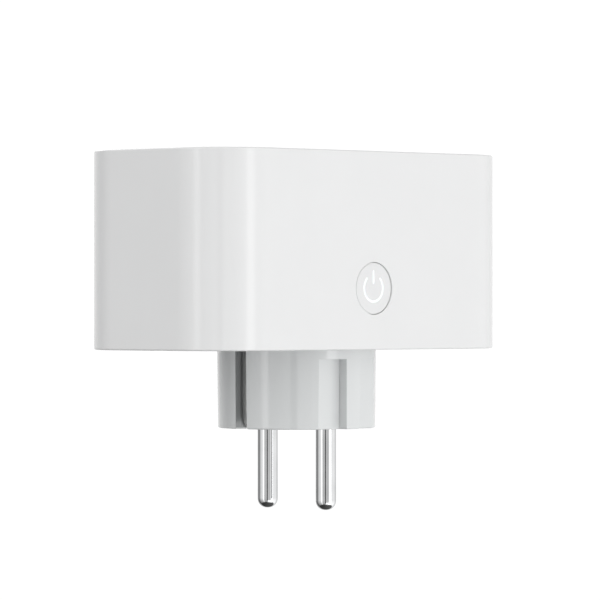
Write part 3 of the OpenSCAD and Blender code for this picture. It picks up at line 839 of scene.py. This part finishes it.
def make_plug_clips():
    """The two earth clips at the sides of the plug, hooked inwards at their lower ends."""
    low, high = box_mm("plug_earth_clips")
    sheet = 0.8
    middle = high.x - sheet / 2
    path = bend([(middle - 1.5, 0.62), (middle - 0.55, 1.3), (middle, 3.6), (middle, high.z)], 1.3)
    solid = Solid()
    for side in (-1, 1):
        add_strip(solid, path, sheet, high.y - low.y, side)
    solid.build("plug_earth_clips_bent", "housing", "earth_spring", "plug_earth_clips", sharp=30)


def make_socket_bracket(side):
    """The earth contacts of one socket: two bowed springs on a frame of sheet under the well."""
    name = side_name(side)
    low, high = box_mm("socket_earth_bracket_" + name)
    centre_x = (low.x + high.x) / 2
    sheet = 0.6
    spring_x, bow_x = 18.9, 16.55
    inside = 0.05           # how far the springs' feet stay inside the frame's faces
    path = bend([(spring_x, low.z + inside), (spring_x, WELL_FLOOR + 1.2), (bow_x, WELL_FLOOR + 6.6),
                 (bow_x, WELL_FLOOR + 7.9), (spring_x, high.z)], 1.6)
    reach, inner, arm_y, rail_y = 19.8, 17.2, -1.6, high.y - 3
    corners = [(-reach, arm_y), (-inner, arm_y), (-inner, rail_y), (inner, rail_y), (inner, arm_y),
               (reach, arm_y), (reach, high.y), (-reach, high.y)]
    solid = Solid()
    for way in (-1, 1):
        add_strip(solid, path, sheet, -2 * (arm_y + inside), way, centre_x)
    add_sheet(solid, [(centre_x + x, y) for x, y in corners], low.z, low.z + sheet)
    solid.build("socket_earth_contacts_" + name, "housing", "earth_spring",
                "socket_earth_bracket_" + name, sharp=30)


# ---------- plates, wells and the power button ----------

LARGE_R, LARGE_SEGMENTS = 10, 72                    # holes over this radius get more segments
BASE_T = 2.0
POST_X, POST_R, POST_HOLE_R = 44, 2.4, 1.0          # posts on the base plate for the main board
SCREW_HEAD_R, SCREW_HEAD_DEPTH, SCREW_SHANK_R = 2.5, 1.0, 1.45      # holes for the base screws


def make_plate(name, node, outline, z0, z1, edge, holes, posts=()):
    """A flat moulded plate with rounded edges. holes are (centre, ((radius, z), ...)), bottom to top."""
    w, d, r = outline
    profile = [(edge, z0), (0, z0 + edge)] + arc((edge, z1 - edge), edge, 180, 90, 3)
    solid = Solid()
    rings = solid.loft([[(x, y, z) for x, y in rounded_outline(w - 2 * i, d - 2 * i, r - i)]
                        for i, z in profile])
    walls = [hole(solid, centre, steps, LARGE_SEGMENTS if steps[0][0] > LARGE_R else TUBE_SEGMENTS)
             for centre, steps in holes]
    solid.cap(rings[0], *[h[0] for h in walls])
    solid.cap(rings[-1], *[h[-1] for h in walls])
    for centre, r0, r1, low, high in posts:
        tube(solid, centre, r0, r1, low, high)
    solid.build(name, "housing", "housing_white", node, sharp=28)


def make_top_panel():
    z0, z1 = PANEL_LOW.z, PANEL_HIGH.z
    w, d = (PANEL_HIGH - PANEL_LOW).xy
    r, edge = WELL_R + WELL_WALL + 0.1, 0.22
    wall = [(r, z0), (r, z1 - edge), (r + edge * 0.3, z1 - edge * 0.3), (r + edge, z1)]
    holes = [((x, 0), wall) for x in (-SOCKET_X, SOCKET_X)]
    outline = (w, d, CORNER_R - WALL - 0.1)
    make_plate("top_panel_moulded", "top_panel", outline, z0, z1, edge, holes)


def make_base_plate():
    z0 = BASE_LOW.z
    z1 = z0 + BASE_T
    w, d = (BASE_HIGH - BASE_LOW).xy
    r, edge, head_z = PLUG_R + 0.1, 0.15, z0 + SCREW_HEAD_DEPTH
    holes = [((0, 0), [(r + edge, z0), (r, z0 + edge), (r, z1)])]
    screw = [(SCREW_HEAD_R + edge, z0), (SCREW_HEAD_R, z0 + edge), (SCREW_HEAD_R, head_z),
             (SCREW_SHANK_R, head_z), (SCREW_SHANK_R, z1)]
    holes += [((x * SCREW_X, y * SCREW_Y), screw) for x in (-1, 1) for y in (-1, 1)]
    posts = [((x * POST_X, 0), POST_HOLE_R, POST_R, z1 - 0.05, BASE_HIGH.z) for x in (-1, 1)]
    outline = (w, d, CORNER_R - WALL - 0.15)
    make_plate("base_plate_moulded", "base_plate", outline, z0, z1, 0.2, holes, posts)


GUIDE_Y = 16.6              # inner face of the guide ribs at a well's sides
NOTCH_HALF = 2.75           # half the width of the notch in each
CONTACT_HALF = 2.2          # half the width of the slots for the earth contacts
CONTACT_DEPTH = 20.6        # from the well's axis to the bottom of those slots
CONTACT_HEIGHT = 14.5       # from the well's floor to their tops
GUIDE_GAP = 1.5             # from the guide ribs' tops to the rim
PIN_OPENING = ((3.6, 0), (2.9, -0.6))       # (radius, height over the well's floor)
SLIT_X = (17.9, 19.9)       # openings in the well's floor for the earth contacts' springs
SLIT_HALF = 1.9


def make_well(side):
    """A socket well as one skin: rim, guide ribs, contact slots, floor, and its wall outside."""
    name = side_name(side)
    x = side * SOCKET_X
    z0 = WELL_LOW.z
    solid = Solid()
    rings = solid.loft(well_inside(x))
    outer = [solid.ring(circle(r, z, len(rings[0]), (x, 0))) for r, z in well_outside()]
    solid.skin([rings[0], *outer])
    pin = [(r, WELL_FLOOR + z) for r, z in PIN_OPENING] + [(PIN_OPENING[-1][0], z0)]
    holes = [hole(solid, (x, y), pin) for y in (-PIN_Y, PIN_Y)]
    for way in (-1, 1):
        low_x, high_x = sorted(x + way * edge for edge in SLIT_X)
        corners = [(low_x, -SLIT_HALF), (high_x, -SLIT_HALF), (high_x, SLIT_HALF), (low_x, SLIT_HALF)]
        holes.append(solid.loft([[(a, b, z) for a, b in corners] for z in (WELL_FLOOR, z0)]))
    solid.cap(rings[-1], *[h[0] for h in holes])
    solid.cap(outer[-1], *[h[-1] for h in holes])
    solid.build("socket_well_moulded_" + name, "housing", "socket_white", "socket_well_" + name,
                sharp=28)


def well_inside(x):
    """The outlines down the inside of a well, from its rim to its floor."""
    rim, soft, foot = 0.4, 0.25, 0.4        # roundings of the rim, the guide ribs' tops and the floor
    top = WELL_HIGH.z
    guide_top, slot_top = top - GUIDE_GAP, WELL_FLOOR + CONTACT_HEIGHT
    levels = [well_outline(x, z, wall=i, flats=False, slots=False)
              for i, z in arc((rim, top - rim), rim, 90, 180, 4)]
    levels += [well_outline(x, guide_top, flats=False, slots=False)]
    levels += [well_outline(x, z, grow=i, slots=False)
               for i, z in arc((soft, guide_top - soft), soft, 90, 180, 3)]
    levels += [well_outline(x, slot_top, slots=False), well_outline(x, slot_top)]
    levels += [well_outline(x, z, wall=-i)
               for i, z in reversed(arc((foot, WELL_FLOOR + foot), foot, 270, 180, 4))]
    return levels


def well_outline(x, z, grow=0.0, wall=0.0, flats=True, slots=True):
    """The inside of a well. wall moves the whole outline outwards, and grow only its guide ribs."""
    r = WELL_R + wall
    quarter = keyed_quarter(r, GUIDE_Y + grow + wall, NOTCH_HALF + grow + wall, CONTACT_HALF + wall,
                            CONTACT_DEPTH + wall)
    return whole(trimmed(quarter, r, flats, slots), z, x)


def well_outside():
    """(radius, z) pairs down the outside of a well, with the ledge that it hangs from."""
    r, top = WELL_R + WELL_WALL, WELL_HIGH.z
    ledge_r, ledge_z, ledge_t = WELL_HIGH.x - SOCKET_X, PANEL_LOW.z, 2
    soft = 0.3
    return [(r - soft, top), (r - 0.3 * soft, top - 0.3 * soft), (r, top - soft), (r, ledge_z),
            (ledge_r, ledge_z), (ledge_r, ledge_z - ledge_t), (r, ledge_z - ledge_t),
            (r, WELL_LOW.z + soft), (r - soft, WELL_LOW.z)]


MARK_R = 3.125              # middle of the power mark's ring
MARK_HALF = 0.325           # half the width of its lines
MARK_OPENING = 46           # half the angle of the gap in the ring, in degrees
MARK_BAR = (1.18, 3.9)      # ends of the bar
MARK_RISE = 0.08
CAP_SKIN = 1.0              # thickness of the cap's face
CAP_EDGE = 0.12
CAP_SEGMENTS = 96
CAP_STEP_IN, CAP_STEP_DOWN = 0.16, 0.14     # shallow step round the face, which softens the gap
GUIDE_PLATE = ((5.0, 0.03), (5.1, 0.1), (5.1, 0.6), (5.0, 0.63))    # (radius, depth behind the face)


def icon_loops(grow=0.0):
    """The power mark as two closed loops of (x, up) round the button's axis: an open ring and a bar."""
    half = MARK_HALF + grow
    start, end = 90 + MARK_OPENING, 450 - MARK_OPENING
    outer = arc((0, 0), MARK_R + half, start, end, 28)
    inner = arc((0, 0), MARK_R - half, end, start, 28)
    ends = []
    for angle in (90 - MARK_OPENING, 90 + MARK_OPENING):
        a = math.radians(angle)
        centre = (MARK_R * math.cos(a), MARK_R * math.sin(a))
        turn = angle if angle < 90 else angle + 180
        ends.append(arc(centre, half, turn, turn + 180, 6)[1:-1])
    ring = outer + ends[0] + inner + ends[1]
    bar = arc((0, MARK_BAR[1]), half, 0, 180, 6) + arc((0, MARK_BAR[0]), half, 180, 360, 6)
    return [[(x, up + MARK_RISE) for x, up in loop] for loop in (ring, bar)]


def at_button(points, y):
    return [(BUTTON_X + x, y, BUTTON_Z + up) for x, up in points]


def make_cap():
    """The button's cap, with the power mark cut through its face."""
    face, back, behind = CAP_LOW.y, CAP_HIGH.y, CAP_LOW.y + CAP_SKIN
    r, inner_r = BUTTON_R - 0.01, BUTTON_R - 0.9
    step_r, step_y = r - CAP_STEP_IN, face + CAP_STEP_DOWN
    solid = Solid()
    profile = [(step_r - i, face + z) for i, z in arc((CAP_EDGE, CAP_EDGE), CAP_EDGE, 270, 180, 4)]
    profile += [(step_r, step_y), (r, step_y), (r, back), (inner_r, back), (inner_r, behind)]
    rings = solid.skin([round_at(solid, CAP_SEGMENTS, radius, y) for radius, y in profile])
    walls = [[solid.ring(at_button(loop, y)) for y in (face, behind)] for loop in icon_loops(0.02)]
    for near, far in walls:
        solid.bridge(near, far)
    solid.cap(rings[0], *[near for near, far in walls])
    solid.cap(rings[-1], *[far for near, far in walls])
    solid.build("button_cap_moulded", "power_button", "button_white", "button_cap", sharp=28)


def make_light_guide():
    """The translucent plate behind the cap's face, whose raised bars fill the power mark."""
    face, behind = CAP_LOW.y, CAP_LOW.y + CAP_SKIN
    guide = Solid()
    for loop in icon_loops():
        inset = [(x * 0.995, up) for x, up in loop]
        rings = [guide.ring(at_button(inset, face + 0.02)), guide.ring(at_button(loop, face + 0.05)),
                 guide.ring(at_button(loop, behind + 0.05))]
        guide.skin(rings, ends=True)
    plate = [round_at(guide, CAP_SEGMENTS, radius, behind + depth) for radius, depth in GUIDE_PLATE]
    guide.skin(plate, ends=True)
    guide.build("button_icon_light_guide", "power_button", "icon_lens", "button_icon_lens", sharp=28)


# ---------- shutter springs ----------

SPRING_TURNS = 9
SPRING_STEPS = 20           # rings in each turn
SPRING_SIDES = 8
SPRING_WIRE_R = 0.18
SPRING_CLOSED = 0.06        # share of the wire in each closed end


def make_spring(side):
    """A coil along X, at one fixed length. On the real plug it presses flat against the tray's outer
    wall as its shutter opens; nothing here does that.
    """
    name = side_name(side)
    low, high = box_mm("shutter_spring_" + name)
    wire = SPRING_WIRE_R
    middle_z, r = (low.z + high.z) / 2, (high.z - low.z) / 2 - wire
    near, far = (low.x, high.x) if side > 0 else (high.x, low.x)
    near, far = near + side * wire, far - side * wire
    section = [TURN * k / SPRING_SIDES for k in range(SPRING_SIDES)]
    count = SPRING_TURNS * SPRING_STEPS
    solid = Solid()
    rings = []
    for i in range(count + 1):
        share = i / count
        open_share = (share - SPRING_CLOSED) / (1 - 2 * SPRING_CLOSED)
        x = near + (far - near) * min(1.0, max(0.0, open_share))
        turn = TURN * SPRING_TURNS * share
        rings.append(solid.ring([
            (x + wire * math.sin(b), (r + wire * math.cos(b)) * math.cos(turn),
             middle_z + (r + wire * math.cos(b)) * math.sin(turn)) for b in section]))
    solid.skin(rings, ends=True)
    piece = solid.build("shutter_spring_coil_" + name, "housing", "spring_steel",
                        "shutter_spring_" + name, sharp=60, weighted=False)
    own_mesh(piece)


# ---------- CAD nodes that keep their shape ----------

def soften(piece, width):
    """Rounds a CAD node's edges without touching its own mesh."""
    weld = piece.modifiers.new("weld", "WELD")
    weld.merge_threshold = 1e-6
    bevel = piece.modifiers.new("soft_edges", "BEVEL")
    bevel.width = width * MM
    bevel.segments = 3
    bevel.limit_method = "ANGLE"
    bevel.angle_limit = math.radians(SHARP_EDGE)
    bevel.use_clamp_overlap = True
    even = piece.modifiers.new("even_normals", "WEIGHTED_NORMAL")
    even.keep_sharp = True


SHARP_EDGE = 30         # edges that turn by more degrees than this are rounded
# Rounding of the nodes' edges in millimetres, and the starts of the names that it goes to.
EDGE_ROUNDING = {
    0.05: ("button_board", "radio_board"),
    0.06: ("relay_contact", "neutral_bus", "line_contact", "earth_bus"),
    0.08: ("main_board", "relay_armature"),
    0.1: ("surface_chips",),
    0.12: ("button_carrier", "relay_yoke", "relay_coil", "fuse", "base_screws", "board_screws"),
    0.15: ("switch_body", "switch_plunger", "status_leds", "relay_base", "rectifier", "choke",
           "earth_pin_sleeve"),
    0.2: ("shutter_tray", "shutter_left", "shutter_right"),
    0.25: ("radio_shield", "bulk_capacitors"),
    0.3: ("transformer_core",),
    0.35: ("transformer_winding", "filter_capacitor"),
    0.4: ("relay_case",),
    0.8: ("varistor",)}


def dress_cad_nodes():
    """Gives every CAD node its slot's material, and soft edges to the nodes that EDGE_ROUNDING lists."""
    slots = {s["node"]: s["material_slot"] for s in frame["record"]["subparts"]}
    for name, node in frame["nodes"].items():
        node.data.materials.clear()
        node.data.materials.append(MATERIALS[slots[name]])
        for width, starts in EDGE_ROUNDING.items():
            if name.startswith(starts):
                soften(node, width)


make_camera()
make_world()
for box in SOFTBOXES:
    softbox(*box)
make_floor()
bpy.context.scene.view_settings.view_transform = "Standard"
dress_cad_nodes()
make_housing()
make_top_panel()
make_base_plate()
make_plug()
make_plug_clips()
make_cap()
make_light_guide()
for side in (-1, 1):
    make_well(side)
    make_socket_bracket(side)
for side in (-1, 1):
    make_spring(side)
